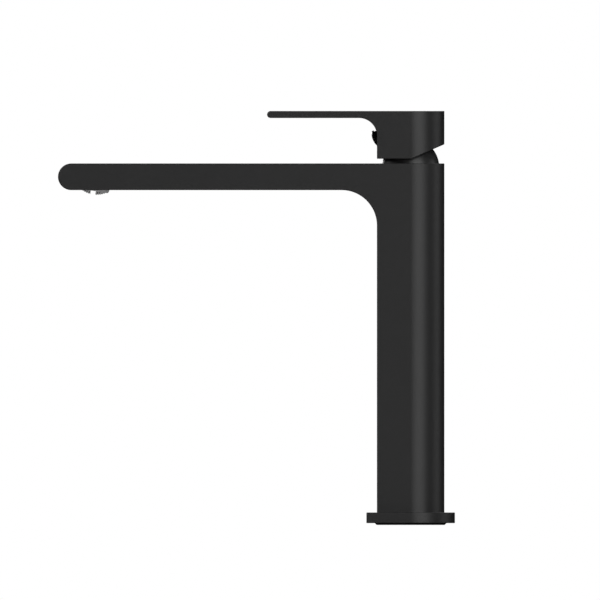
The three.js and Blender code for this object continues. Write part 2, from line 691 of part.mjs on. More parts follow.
function aerator() {
  const group = new THREE.Group();
  group.position.set(0, NOZZLE_Y, NOZZLE_Z);
  group.add(aeratorHousing(), swivelSeat());
  group.add(piece('aerator_o_ring', oRing(12.2, 0.45, 0, 0, 0.8), blackRubber));
  group.add(piece('aerator_washer', ring(13.6, 9.6, 4.9, 5.7), blackRubber));
  const nozzle = new THREE.Group();
  nozzle.rotation.x = NOZZLE_TILT;
  nozzle.add(aeratorBall(), jetInsert(), flowScreen());
  group.add(nozzle);
  return group;
}

const mixer = new THREE.Group();
mixer.add(foot(), bodyCasing(), waterway(), cartridge(), domeCover(), lever(), aerator());

export default mixer;
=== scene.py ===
"""Tall basin mixer: its visible pieces, finishes and a plain studio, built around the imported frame.

Laid out as an add-on. Every length is in metres, in the frame's own axes: +Z up from the deck,
the spout and the lever along -Y, and the column on the Z axis.
"""
import json
import math

import bmesh
import bpy
from mathutils import Matrix, Vector

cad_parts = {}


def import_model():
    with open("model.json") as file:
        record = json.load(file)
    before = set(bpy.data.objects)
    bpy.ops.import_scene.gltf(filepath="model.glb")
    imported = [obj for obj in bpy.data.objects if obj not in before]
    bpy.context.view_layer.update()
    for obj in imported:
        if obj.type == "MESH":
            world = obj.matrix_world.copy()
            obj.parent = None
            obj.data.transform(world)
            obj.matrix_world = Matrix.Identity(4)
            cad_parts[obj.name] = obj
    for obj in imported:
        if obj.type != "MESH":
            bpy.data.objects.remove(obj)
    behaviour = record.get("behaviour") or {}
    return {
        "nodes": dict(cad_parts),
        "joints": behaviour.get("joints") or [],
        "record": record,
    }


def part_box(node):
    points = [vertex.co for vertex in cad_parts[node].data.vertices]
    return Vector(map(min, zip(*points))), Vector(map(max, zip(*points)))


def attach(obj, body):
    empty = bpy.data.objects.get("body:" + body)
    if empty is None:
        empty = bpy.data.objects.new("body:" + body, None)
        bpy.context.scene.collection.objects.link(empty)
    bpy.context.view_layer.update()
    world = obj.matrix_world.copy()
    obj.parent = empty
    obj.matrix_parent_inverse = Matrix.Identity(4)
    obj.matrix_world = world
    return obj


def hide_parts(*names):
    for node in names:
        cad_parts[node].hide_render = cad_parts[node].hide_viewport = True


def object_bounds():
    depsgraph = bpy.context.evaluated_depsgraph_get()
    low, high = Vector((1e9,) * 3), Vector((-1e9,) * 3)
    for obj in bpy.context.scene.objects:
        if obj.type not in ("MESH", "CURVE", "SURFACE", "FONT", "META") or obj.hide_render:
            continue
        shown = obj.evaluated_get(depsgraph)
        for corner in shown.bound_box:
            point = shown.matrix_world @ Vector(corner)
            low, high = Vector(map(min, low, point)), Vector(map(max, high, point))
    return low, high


bl_info = {
    "name": "Basin Mixer",
    "version": (1, 0, 0),
    "blender": (4, 5, 0),
    "location": "View3D > Sidebar > Mixer",
    "description": "Builds the visible pieces, finishes and studio of a tall basin mixer",
    "category": "Object",
}

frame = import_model()
CAD_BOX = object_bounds()

MM = 0.001
TURN_STEPS = 96  # steps round a turned piece
ARC_STEPS = 24  # steps in a quarter circle of a casting
SHARP = math.radians(40)  # edges sharper than this are rounded
RIB_COUNT = 13  # rows of cells across the aerator
FACE_CUT = -12 * MM  # cutters for the aerator's face start here, from the ball's centre
CUT_MARGIN = MM  # how far a cutter runs past the face that it opens
JOINTS = {joint["name"]: joint for joint in frame["joints"]}
LIFT_AXIS = Vector(JOINTS["handle_lift"]["pos_m"])
BALL_CENTRE = Vector(JOINTS["aerator_tilt"]["pos_m"])
UP = Vector((0, 0, 1))

# inside the body casting
COLLAR_BOTTOM = 245 * MM  # underside of the thick ring that holds the dome
COLLAR_RADIUS = 22.8 * MM  # outside of that ring
SOCKET_RADIUS = 16.6 * MM  # outside of the wall round the aerator's socket
WEB_HOLE = 17.5 * MM  # radius of the hole that the cartridge seat stands in

# holes in the foot seal: x, y and radius, worked out from the mounts on their rims
MOUNTS = {mount["name"]: Vector(mount["pos_m"]) for mount in frame["record"]["mounts"]}
INLET_RIM = 5.5 * MM  # from an inlet's axis to its mount
STUD_RIM = 4.6 * MM
INLET_HOLE = 6.9 * MM
STUD_HOLE = 6.1 * MM
FOOT_HOLES = (
    (MOUNTS["hot_inlet"].x + INLET_RIM, MOUNTS["hot_inlet"].y, INLET_HOLE),
    (MOUNTS["cold_inlet"].x - INLET_RIM, MOUNTS["cold_inlet"].y, INLET_HOLE),
    (0.0, MOUNTS["stud_boss"].y - STUD_RIM, STUD_HOLE),
)

# studio
VIEW_WIDTH = 0.427  # across the picture
VIEW_OFFSET = Vector((0, 31 * MM, 12.8 * MM))  # middle of the picture, from the middle of the mixer
VIEW_DISTANCE = 2.0
PANEL_DISTANCE = 10.0  # from the column to each light
AIM_HEIGHT = 0.15  # the lights point at the column here
FLOOR_RADIUS = 14.0


# ---- sizes and colours a user would change ---------------------------------------------


def length(name, description, default):
    return bpy.props.FloatProperty(
        name=name, description=description, default=default, min=0, unit="LENGTH", precision=5
    )


def angle(name, description, degrees):
    return bpy.props.FloatProperty(
        name=name, description=description, default=math.radians(degrees), subtype="ANGLE"
    )


def colour(name, description, *rgb):
    return bpy.props.FloatVectorProperty(
        name=name, description=description, default=rgb, size=3, min=0, max=1, subtype="COLOR"
    )


class MixerSizes(bpy.types.PropertyGroup):
    edge_radius: length("Edge radius", "Rounding of the castings' edges", 0.4 * MM)
    moulded_edge: length("Moulded edge", "Rounding of the moulded pieces' edges", 0.15 * MM)
    wall: length("Wall", "Wall of the body casting", 3 * MM)
    spout_thickness: length("Spout thickness", "Height of the spout", 19 * MM)
    spout_fillet: length("Spout fillet", "Radius under the spout's root", 25.25 * MM)
    lever_thickness: length("Lever thickness", "Height of the flat lever", 5 * MM)
    lever_fillet: length("Lever fillet", "Radius under the lever's root", 12.8 * MM)
    block_slope: angle("Block slope", "Rise of the block's underside behind its bend", 23.5)
    block_bend: length("Block bend", "Where the underside starts to rise, behind the axis", 0.35 * MM)
    groove: length("Foot groove", "Gap between the column and the plate it stands in", 0.08 * MM)
    plate_recess: length("Plate recess", "Depth that the column stands in the plate", 0.8 * MM)
    seal_chamfer: length("Seal chamfer", "Chamfer round the foot seal's lower edge", 1.3 * MM)
    dome_radius: length("Dome radius", "Outside radius of the dome under the handle", 20.35 * MM)
    dome_wall: length("Dome wall", "Wall of the dome", 1.55 * MM)
    dome_mouth: length("Dome mouth", "Radius of the opening for the spindle", 13.3 * MM)
    cup_clearance: length("Cup clearance", "Gap between the dome and the handle's hollow", 0.55 * MM)
    plug_radius: length("Plug radius", "Radius of the plug's head", 5.84 * MM)
    plug_crown: length("Plug crown", "Height of the plug's domed face", 1.54 * MM)
    plug_head: length("Plug head", "Thickness of the plug's head behind its rim", 1.45 * MM)
    plug_step: length("Plug step", "Radius of the step behind the plug's head", 5 * MM)
    plug_step_end: length("Plug step end", "Distance from the plug's rim to the back of its step", 3.2 * MM)
    plug_neck: length("Plug neck", "Radius of the plug's neck", 4.1 * MM)
    plug_length: length("Plug length", "Length of the plug behind its rim", 7 * MM)
    plug_dip: angle("Plug dip", "How far the plug looks down from level", 21.2)
    ball_radius: length("Ball radius", "Radius of the aerator's ball", 11.4 * MM)
    ball_face: length("Ball face", "Ball centre to the flat face it is cut to", 5 * MM)
    crown_radius: length("Crown radius", "Radius of the aerator's ribbed crown", 8.9 * MM)
    crown_height: length("Crown height", "How far the crown stands out of the ball", 2.4 * MM)
    nozzle_tilt: angle("Nozzle tilt", "How far the jet leans forward at rest", 8)
    coin_slot: length("Coin slot", "Width of the slot across the aerator", 3.6 * MM)
    slot_shift: length("Slot shift", "How far the slot lies ahead of the ball's centre", 0.3 * MM)
    slot_depth: length("Slot depth", "How far the slot cuts into the ball's face", 0.27 * MM)
    rib_pitch: length("Rib pitch", "Spacing of the aerator's square cells", 1.42 * MM)
    rib_drop: length("Rib drop", "How far the cross ribs lie below the fins", 0.3 * MM)


class MixerColours(bpy.types.PropertyGroup):
    coat: colour("Coat", "Matt black powder coat", 0.008, 0.008, 0.0082)
    gloss: colour("Gloss black", "Polished plug", 0.004, 0.004, 0.0045)
    rubber: colour("Rubber", "Seals and O-rings", 0.018, 0.018, 0.019)
    grey: colour("Grey plastic", "Aerator", 0.19, 0.19, 0.19)
    white: colour("White plastic", "Cartridge housing", 0.78, 0.77, 0.73)
    blue: colour("Blue plastic", "Cartridge's moving parts", 0.05, 0.14, 0.4)
    brass: colour("Brass", "Machined brass", 0.62, 0.45, 0.2)
    copper: colour("Copper", "Drawn pipe", 0.64, 0.3, 0.17)
    steel: colour("Steel", "Stainless screws, pin and screen", 0.55, 0.56, 0.58)
    ceramic: colour("Ceramic", "Lapped valve discs", 0.86, 0.85, 0.81)
    floor: colour("Floor", "Pale studio floor", 0.86, 0.86, 0.86)


def sizes():
    return bpy.context.scene.mixer_sizes


def colours():
    return bpy.context.scene.mixer_colours


# ---- drawing and shaping ---------------------------------------------------------------


class Sheet:
    """A drawing plane: the point (u, v) on it is origin + u * across + v * up."""

    def __init__(self, origin, across, up):
        self.origin, self.across, self.up = Vector(origin), Vector(across), Vector(up)
        self.normal = self.across.cross(self.up)

    def at(self, u, v):
        return self.origin + u * self.across + v * self.up


def side_sheet(x):
    return Sheet((x, 0, 0), (0, 1, 0), (0, 0, 1))


def deselect():
    if bpy.context.object and bpy.context.object.mode != "OBJECT":
        bpy.ops.object.mode_set(mode="OBJECT")
    bpy.ops.object.select_all(action="DESELECT")


def pick(piece):
    deselect()
    piece.select_set(True)
    bpy.context.view_layer.objects.active = piece


def edit(piece, mode="VERT"):
    pick(piece)
    bpy.ops.object.mode_set(mode="EDIT")
    bpy.ops.mesh.select_mode(type=mode)
    bpy.ops.mesh.select_all(action="DESELECT")


def named(piece, name):
    piece.name = name
    piece.data.name = name
    return piece


def to(u, v):
    return "line", (u, v), 0


def arc(u, v, degrees):
    return "arc", (u, v), degrees


def draw(name, sheet, start, *moves):
    """Traces an outline on the sheet, from one vertex, with straight moves and arcs about a centre."""
    deselect()
    bpy.ops.mesh.primitive_plane_add(size=MM)
    piece = named(bpy.context.object, name)
    bpy.ops.object.mode_set(mode="EDIT")
    bpy.ops.mesh.select_mode(type="VERT")
    bpy.ops.mesh.select_all(action="SELECT")
    bpy.ops.mesh.merge(type="CENTER")
    bpy.ops.transform.translate(value=sheet.at(*start))
    here = Vector(start)
    for kind, point, degrees in moves:
        point = Vector(point)
        if kind == "line":
            step = sheet.at(*point) - sheet.at(*here)
            bpy.ops.mesh.extrude_vertices_move(TRANSFORM_OT_translate={"value": step})
            here = point
        else:
            steps = max(2, round(abs(degrees) / 90 * ARC_STEPS))
            # the spin operator turns clockwise about its axis
            bpy.ops.mesh.spin(
                steps=steps, angle=-math.radians(degrees), center=sheet.at(*point), axis=sheet.normal
            )
            here = point + Matrix.Rotation(math.radians(degrees), 2) @ (here - point)
    return piece


def weld(piece):
    edit(piece)
    bpy.ops.mesh.select_all(action="SELECT")
    bpy.ops.mesh.remove_doubles(threshold=MM / 1000)
    bpy.ops.mesh.normals_make_consistent(inside=False)
    bpy.ops.object.mode_set(mode="OBJECT")


def slab(name, x, width, start, *moves):
    """A closed side outline, filled and pushed out along X."""
    piece = draw(name, side_sheet(x), start, *moves)
    bpy.ops.mesh.select_all(action="SELECT")
    bpy.ops.mesh.remove_doubles(threshold=MM / 1000)
    bpy.ops.mesh.edge_face_add()
    bpy.ops.mesh.extrude_region_move(TRANSFORM_OT_translate={"value": (width, 0, 0)})
    weld(piece)
    return piece


def turned(name, start, *moves, centre=(0, 0, 0)):
    """A profile of (radius, height) spun once round an upright axis."""
    piece = draw(name, Sheet(centre, (1, 0, 0), (0, 0, 1)), start, *moves)
    bpy.ops.mesh.select_all(action="SELECT")
    bpy.ops.mesh.spin(steps=TURN_STEPS, angle=2 * math.pi, center=centre, axis=UP)
    weld(piece)
    return piece


def select_edges(piece, wanted):
    """Opens the piece in edit mode with the edges whose two ends pass the test."""
    edit(piece, "EDGE")
    mesh = bmesh.from_edit_mesh(piece.data)
    for edge in mesh.edges:
        a, b = (vertex.co for vertex in edge.verts)
        edge.select_set(wanted(a, b))
    bmesh.update_edit_mesh(piece.data)


def round_back(piece, half):
    """Bevels the two rear upright edges until they meet in a half circle about the column's axis."""
    rear = max(vertex.co.y for vertex in piece.data.vertices)

    def wanted(a, b):
        upright = abs(a.x - b.x) < MM / 100 and abs(a.z - b.z) > MM
        return upright and abs(a.y - rear) < MM / 100 and abs(b.y - rear) < MM / 100

    select_edges(piece, wanted)
    bpy.ops.mesh.bevel(offset=half, segments=2 * ARC_STEPS, affect="EDGES", clamp_overlap=False)
    weld(piece)


def round_edges(piece, radius, wanted=None, segments=4):
    """Rounds every sharp edge, or the sharp ones whose two ends pass the test."""
    edit(piece, "EDGE")
    bpy.ops.mesh.edges_select_sharp(sharpness=SHARP)
    if wanted:
        mesh = bmesh.from_edit_mesh(piece.data)
        for edge in mesh.edges:
            if edge.select and not wanted(*(vertex.co for vertex in edge.verts)):
                edge.select_set(False)
        bmesh.update_edit_mesh(piece.data)
    bpy.ops.mesh.bevel(offset=radius, segments=segments, affect="EDGES", clamp_overlap=False)
    weld(piece)


def block(name, half_width, front, back, bottom, top, x=0):
    deselect()
    middle = (x, (front + back) / 2, (bottom + top) / 2)
    scale = (2 * half_width, back - front, top - bottom)
    bpy.ops.mesh.primitive_cube_add(size=1, location=middle, scale=scale)
    piece = named(bpy.context.object, name)
    bpy.ops.object.transform_apply(location=True, rotation=True, scale=True)
    return piece


def column_block(name, half, bottom, top):
    """The column's plan, square in front and round behind, as an upright block."""
    piece = block(name, half, -half, half, bottom, top)
    round_back(piece, half)
    return piece


def drum(name, radius, bottom, top, centre=(0, 0, 0)):
    return turned(name, (0, bottom), to(radius, bottom), to(radius, top), to(0, top), centre=centre)


def globe(name, radius, centre):
    deselect()
    bpy.ops.mesh.primitive_uv_sphere_add(
        segments=TURN_STEPS, ring_count=TURN_STEPS // 2, radius=radius, location=centre
    )
    piece = named(bpy.context.object, name)
    bpy.ops.object.transform_apply(location=True, rotation=True, scale=True)
    return piece


def cut(piece, *cutters):
    for cutter in cutters:
        pick(piece)
        bpy.ops.object.modifier_add(type="BOOLEAN")
        modifier = piece.modifiers[-1]
        modifier.operation = "DIFFERENCE"
        modifier.solver = "EXACT"
        modifier.object = cutter
        bpy.ops.object.modifier_apply(modifier=modifier.name)
        bpy.data.objects.remove(cutter)
    return piece


def repeat(piece, step, count):
    """Copies a piece along a step with an applied array."""
    pick(piece)
    bpy.ops.object.modifier_add(type="ARRAY")
    modifier = piece.modifiers[-1]
    modifier.count = count
    modifier.use_relative_offset = False
    modifier.use_constant_offset = True
    modifier.constant_offset_displace = step
    bpy.ops.object.modifier_apply(modifier=modifier.name)
    return piece


def put(piece, location, tilt=0.0):
    """Tilts a piece about X and moves it, leaving its object at the origin."""
    pick(piece)
    piece.rotation_euler = (tilt, 0, 0)
    piece.location = location
    bpy.ops.object.transform_apply(location=True, rotation=True, scale=True)
    return piece


def finish(piece, body, slot, *nodes):
    """Smooths the shading, gives the slot's finish, ties the piece to its body and hides the nodes that it
    stands in for.
    """
    pick(piece)
    bpy.ops.object.shade_smooth_by_angle(angle=SHARP)
    bpy.ops.object.modifier_add(type="WEIGHTED_NORMAL")
    piece.modifiers[-1].keep_sharp = True
    bpy.ops.object.modifier_apply(modifier=piece.modifiers[-1].name)
    piece.data.materials.clear()
    piece.data.materials.append(finish_named(slot))
    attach(piece, body)
    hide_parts(*nodes)
    deselect()


# ---- node building ---------------------------------------------------------------------


def add(tree, kind, inputs=None, **settings):
    node = tree.nodes.new(kind)
    for key, value in settings.items():
        setattr(node, key, value)
    for socket, value in (inputs or {}).items():
        if isinstance(value, bpy.types.NodeSocket):
            tree.links.new(value, node.inputs[socket])
        else:
            node.inputs[socket].default_value = value
    return node


def maths(tree, operation, first, second):
    return add(tree, "ShaderNodeMath", {0: first, 1: second}, operation=operation).outputs[0]


def noise(tree, vector, scale, detail=2.0, rough=0.5):
    inputs = {"Vector": vector, "Scale": scale, "Detail": detail, "Roughness": rough}
    return add(tree, "ShaderNodeTexNoise", inputs).outputs["Fac"]


def new_group(name, inputs, outputs):
    group = bpy.data.node_groups.new(name, "ShaderNodeTree")
    for label, kind, default in inputs:
        socket = group.interface.new_socket(label, in_out="INPUT", socket_type=kind)
        if default is not None:
            socket.default_value = default
    for label in outputs:
        group.interface.new_socket(label, in_out="OUTPUT", socket_type="NodeSocketFloat")
    return group, group.nodes.new("NodeGroupInput"), group.nodes.new("NodeGroupOutput")


def grain_group():
    """Fine even grain in two sizes, with slow tone changes: powder coat, rubber and moulded skins."""
    group, source, sink = new_group(
        "Grain",
        [("Vector", "NodeSocketVector", None), ("Grains per metre", "NodeSocketFloat", 1500.0),
         ("Blotches per metre", "NodeSocketFloat", 30.0)],
        ["Height", "Tone"],
    )
    vector, grains = source.outputs["Vector"], source.outputs["Grains per metre"]
    coarse = noise(group, vector, grains, 2.0)
    fine = noise(group, vector, maths(group, "MULTIPLY", grains, 3.3), 1.0)
    height = maths(group, "ADD", maths(group, "MULTIPLY", coarse, 0.7), maths(group, "MULTIPLY", fine, 0.3))
    tone = noise(group, vector, source.outputs["Blotches per metre"], 4.0, 0.6)
    group.links.new(height, sink.inputs["Height"])
    group.links.new(tone, sink.inputs["Tone"])
    return group


def rings_group():
    """Tool marks of a lathe: they change with the distance from the axis and along it, not round it."""
    group, source, sink = new_group(
        "Lathe marks",
        [("Vector", "NodeSocketVector", None), ("Marks per metre", "NodeSocketFloat", 4000.0)],
        ["Height", "Tone"],
    )
    parts = add(group, "ShaderNodeSeparateXYZ", {0: source.outputs["Vector"]}).outputs
    across, deep = (maths(group, "POWER", parts[letter], 2.0) for letter in "XY")
    radius = maths(group, "SQRT", maths(group, "ADD", across, deep), 0.0)
    along = add(group, "ShaderNodeCombineXYZ", {"X": radius, "Y": parts["Z"]}).outputs[0]
    marks = noise(group, along, source.outputs["Marks per metre"], 3.0, 0.7)
    tone = noise(group, along, maths(group, "MULTIPLY", source.outputs["Marks per metre"], 0.12), 2.0)
    group.links.new(marks, sink.inputs["Height"])
    group.links.new(tone, sink.inputs["Tone"])
    return group


def streaks_group():
    """Long fine draw lines along Z."""
    group, source, sink = new_group(
        "Draw lines",
        [("Vector", "NodeSocketVector", None), ("Lines per metre", "NodeSocketFloat", 5000.0)],
        ["Height", "Tone"],
    )
    flat = add(group, "ShaderNodeMapping", {"Vector": source.outputs["Vector"], "Scale": (1, 1, 0.015)})
    lines = noise(group, flat.outputs[0], source.outputs["Lines per metre"], 3.0, 0.65)
    tone = noise(group, source.outputs["Vector"], 60.0, 3.0)
    group.links.new(lines, sink.inputs["Height"])
    group.links.new(tone, sink.inputs["Tone"])
    return group


def haze_group():
    """Soft wiped patches where hands and cloths have been: a slow mask between 0 and 1."""
    group, source, sink = new_group(
        "Handling haze",
        [("Vector", "NodeSocketVector", None), ("Patches per metre", "NodeSocketFloat", 18.0)],
        ["Mask"],
    )
    wide = noise(group, source.outputs["Vector"], source.outputs["Patches per metre"], 3.0, 0.55)
    mask = add(
        group, "ShaderNodeMapRange",
        {"Value": wide, "From Min": 0.42, "From Max": 0.68, "To Min": 0.0, "To Max": 1.0},
        interpolation_type="SMOOTHSTEP",
    )
    group.links.new(mask.outputs[0], sink.inputs["Mask"])
    return group


def use(tree, group, vector, **values):
    node = add(tree, "ShaderNodeGroup", node_tree=group)
    tree.links.new(vector, node.inputs["Vector"])
    for label, value in values.items():
        node.inputs[label.replace("_", " ").capitalize()].default_value = value
    return node.outputs


def effect(name):
    builders = {
        "Grain": grain_group, "Lathe marks": rings_group,
        "Draw lines": streaks_group, "Handling haze": haze_group,
    }
    return bpy.data.node_groups.get(name) or builders[name]()


def material(name, rgb, centre=(0, 0, 0), turn=(0, 0, 0), **fixed):
    """A new material with its Principled BSDF and the piece's own object coordinates."""
    made = bpy.data.materials.new(f"{name}_finish")
    made.use_nodes = True
    made.diffuse_color = (*rgb, 1)
    tree = made.node_tree
    shader = tree.nodes["Principled BSDF"]
    for socket, value in fixed.items():
        shader.inputs[socket.replace("_", " ")].default_value = value
    place = add(tree, "ShaderNodeTexCoord").outputs["Object"]
    if any(centre) or any(turn):
        inputs = {"Vector": place, "Location": centre, "Rotation": turn}
        place = add(tree, "ShaderNodeMapping", inputs, vector_type="TEXTURE").outputs[0]
    return made, tree, shader, place


def tint(tree, shader, rgb, factor, darker, lighter):
    """Base colour that drifts between a darker and a lighter cast of one colour."""
    low = (*(min(1.0, c * darker) for c in rgb), 1)
    high = (*(min(1.0, c * lighter) for c in rgb), 1)
    mix = add(tree, "ShaderNodeMix", data_type="RGBA")
    tree.links.new(factor, mix.inputs["Factor"])
    # the node has a set of sockets for each data type, so the colour ones are found by type
    first, second = (socket for socket in mix.inputs if socket.type == "RGBA")
    first.default_value, second.default_value = low, high
    result = next(socket for socket in mix.outputs if socket.type == "RGBA")
    tree.links.new(result, shader.inputs["Base Color"])


def vary(tree, factor, low, high):
    inputs = {"Value": factor, "From Min": 0.3, "From Max": 0.7, "To Min": low, "To Max": high}
    return add(tree, "ShaderNodeMapRange", inputs).outputs[0]


def wipe(tree, shader, rough, mask, change):
    """Roughness that changes by this much where the surface has been handled."""
    total = maths(tree, "ADD", rough, maths(tree, "MULTIPLY", mask, change))
    tree.links.new(total, shader.inputs["Roughness"])


def emboss(tree, shader, height, depth, strength=1.0):
    bump = add(tree, "ShaderNodeBump", {"Height": height, "Distance": depth, "Strength": strength})
    tree.links.new(bump.outputs[0], shader.inputs["Normal"])


# ---- finishes --------------------------------------------------------------------------


def coat_finish():
    """Matt black powder coat: a very fine orange peel, with faint wiped patches."""
    rgb = colours().coat
    made, tree, shader, place = material("black_coat", rgb, IOR=1.5)
    grain = use(tree, effect("Grain"), place, grains_per_metre=1400.0, blotches_per_metre=14.0)
    haze = use(tree, effect("Handling haze"), place, patches_per_metre=16.0)
    tint(tree, shader, rgb, grain["Tone"], 0.94, 1.06)
    wipe(tree, shader, vary(tree, grain["Tone"], 0.4, 0.42), haze["Mask"], -0.015)
    emboss(tree, shader, grain["Height"], 0.00003)
    return made


def gloss_finish():
    rgb = colours().gloss
    made, tree, shader, place = material("black_gloss", rgb, IOR=1.5)
    grain = use(tree, effect("Grain"), place, grains_per_metre=600.0, blotches_per_metre=120.0)
    haze = use(tree, effect("Handling haze"), place, patches_per_metre=150.0)
    tint(tree, shader, rgb, grain["Tone"], 0.9, 1.15)
    wipe(tree, shader, vary(tree, grain["Tone"], 0.1, 0.14), haze["Mask"], 0.05)
    emboss(tree, shader, grain["Height"], 0.00001, 0.2)
    return made


def rubber_finish():
    rgb = colours().rubber
    made, tree, shader, place = material("black_rubber", rgb, IOR=1.45)
    grain = use(tree, effect("Grain"), place, grains_per_metre=3500.0, blotches_per_metre=90.0)
    tint(tree, shader, rgb, grain["Tone"], 0.8, 1.25)
    tree.links.new(vary(tree, grain["Tone"], 0.72, 0.86), shader.inputs["Roughness"])
    emboss(tree, shader, grain["Height"], 0.00004, 0.5)
    return made


def plastic_finish(name, rgb, low=0.42, high=0.52):
    """Moulded plastic with a fine spark-eroded skin."""
    made, tree, shader, place = material(name, rgb, IOR=1.49)
    grain = use(tree, effect("Grain"), place, grains_per_metre=2600.0, blotches_per_metre=70.0)
    tint(tree, shader, rgb, grain["Tone"], 0.93, 1.07)
    tree.links.new(vary(tree, grain["Tone"], low, high), shader.inputs["Roughness"])
    emboss(tree, shader, grain["Height"], 0.00003, 0.35)
    return made


def lathe_finish(name, rgb, metallic, low, high, centre=(0, 0, 0), turn=(0, 0, 0)):
    """Turned metal or lapped ceramic: rings about the piece's own axis."""
    made, tree, shader, place = material(name, rgb, centre, turn, Metallic=metallic)
    marks = use(tree, effect("Lathe marks"), place, marks_per_metre=4200.0)
    haze = use(tree, effect("Handling haze"), place, patches_per_metre=70.0)
    tint(tree, shader, rgb, marks["Tone"], 0.88, 1.08)
    wipe(tree, shader, vary(tree, marks["Tone"], low, high), haze["Mask"], 0.06)
    emboss(tree, shader, marks["Height"], 0.00002, 0.5)
    return made


def drawn_finish(name, rgb, low, high, centre=(0, 0, 0), turn=(0, 0, 0)):
    """Drawn tube or wire: lines along its length and a slow patina."""
    made, tree, shader, place = material(name, rgb, centre, turn, Metallic=1.0)
    lines = use(tree, effect("Draw lines"), place, lines_per_metre=5200.0)
    haze = use(tree, effect("Handling haze"), place, patches_per_metre=40.0)
    tint(tree, shader, rgb, haze["Mask"], 0.82, 1.05)
    tree.links.new(vary(tree, lines["Height"], low, high), shader.inputs["Roughness"])
    emboss(tree, shader, lines["Height"], 0.00002, 0.5)
    return made


def finish_named(name):
    """Each finish is made once and shared by its pieces."""
    tones = colours()
    makers = {
        "black_coat": coat_finish,
        "black_gloss": gloss_finish,
        "black_rubber": rubber_finish,
        "grey_plastic": lambda: plastic_finish("grey_plastic", tones.grey, 0.4, 0.48),
        "white_plastic": lambda: plastic_finish("white_plastic", tones.white),
        "blue_plastic": lambda: plastic_finish("blue_plastic", tones.blue),
        "brass": lambda: lathe_finish("brass", tones.brass, 1.0, 0.26, 0.38),
        "steel": lambda: lathe_finish("steel", tones.steel, 1.0, 0.22, 0.32),
        "ceramic": lambda: lathe_finish("ceramic", tones.ceramic, 0.0, 0.14, 0.24),
        "copper": lambda: drawn_finish("copper", tones.copper, 0.24, 0.36),
    }
    return bpy.data.materials.get(f"{name}_finish") or makers[name]()


# ---- pieces ----------------------------------------------------------------------------


def base_plate():
    s = sizes()
    low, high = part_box("base_plate")
    foot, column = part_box("foot_seal")[1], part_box("body_casing")[1]
    bore = column.x - s.wall
    plate = column_block("base_plate_cover", high.x, low.z, high.z)
    round_edges(plate, s.edge_radius)
    recess_floor = high.z - s.plate_recess
    cut(
        plate,
        column_block("column_recess", column.x + s.groove, recess_floor, high.z + CUT_MARGIN),
        column_block("foot_opening", bore, low.z - CUT_MARGIN, high.z),
        column_block("seal_recess", foot.x + s.groove, low.z - CUT_MARGIN, foot.z + s.groove),
    )
    finish(plate, "body", "black_coat", "base_plate")


def foot_seal():
    s = sizes()
    low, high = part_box("foot_seal")
    seal = column_block("foot_gasket", high.x, low.z, high.z)

    def lower(a, b):
        return max(a.z, b.z) < low.z + MM / 100

    round_edges(seal, s.seal_chamfer, lower, segments=1)
    round_edges(seal, s.moulded_edge, segments=2)
    for x, y, radius in FOOT_HOLES:
        cut(seal, drum("hose_hole", radius, low.z - CUT_MARGIN, high.z + CUT_MARGIN, (x, y, 0)))
    finish(seal, "body", "black_rubber", "foot_seal")


def arm(name, low, high, thick, fillet, rear_bottom, bend):
    """Column or block with a flat arm ahead of it: one side outline, pushed out, its back rounded."""
    half, top, tip = high.x, high.z, thick / 2
    root, nose = -half - fillet, low.y + tip
    piece = slab(
        name, -half, 2 * half, (high.y, rear_bottom),
        to(high.y, top), to(nose, top), arc(nose, top - tip, 180),
        to(root, top - thick), arc(root, top - thick - fillet, -90),
        to(-half, low.z), to(bend, low.z), to(high.y, rear_bottom),
    )
    round_back(piece, half)
    return piece


def water_channel():
    """The hollow of the spout, stopping short of the aerator's socket and the collar."""
    s = sizes()
    low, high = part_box("body_casing")
    reach, middle = s.spout_thickness / 2 - s.wall, high.z - s.spout_thickness / 2
    nose, root = low.y + s.spout_thickness / 2, -high.x + 2 * s.wall
    width = high.x - s.wall
    channel = slab(
        "water_channel", -width, 2 * width, (root, middle + reach),
        to(nose, middle + reach), arc(nose, middle, 180), to(root, middle - reach),
        to(root, middle + reach),
    )
    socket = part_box("aerator_housing")[1]
    tower = drum("socket_wall", SOCKET_RADIUS, 0, socket.z + 4 * MM, (0, BALL_CENTRE.y, 0))
    collar = drum("collar_wall", COLLAR_RADIUS, COLLAR_BOTTOM, high.z + CUT_MARGIN)
    return cut(channel, tower, collar)


def body_casing():
    s = sizes()
    low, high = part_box("body_casing")
    casing = arm("mixer_body", low, high, s.spout_thickness, s.spout_fillet, low.z, 0)
    round_edges(casing, s.edge_radius)
    inner, lip, gap = high.x - s.wall, 0.35 * MM, 0.1 * MM
    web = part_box("cartridge_seat")[0].z
    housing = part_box("aerator_housing")[1]
    collar, collar_bottom = s.dome_radius + gap, COLLAR_BOTTOM - CUT_MARGIN
    collar_bore = turned(
        "collar_bore", (0, collar_bottom), to(collar, collar_bottom), to(collar, high.z - lip),
        to(collar + lip, high.z), to(collar + lip, high.z + CUT_MARGIN), to(0, high.z + CUT_MARGIN),
    )
    socket, roof, underside = housing.x + gap, housing.z + 1.4 * MM, high.z - s.spout_thickness
    socket_bore = turned(
        "socket_bore", (0, underside - CUT_MARGIN), to(socket + lip, underside - CUT_MARGIN),
        to(socket + lip, underside), to(socket, underside + lip), to(socket, roof), to(0, roof),
        centre=(0, BALL_CENTRE.y, 0),
    )
    hole_top = high.z - s.wall - MM
    cut(
        casing,
        column_block("lower_hollow", inner, low.z - CUT_MARGIN, web + 6 * MM),
        drum("web_hole", WEB_HOLE, web, web + 12 * MM),
        column_block("upper_hollow", inner, web + 10 * MM, COLLAR_BOTTOM),
        collar_bore, water_channel(), socket_bore,
        drum("water_hole", 10 * MM, housing.z, hole_top, (0, BALL_CENTRE.y, 0)),
    )
    finish(casing, "body", "black_coat", "body_casing")


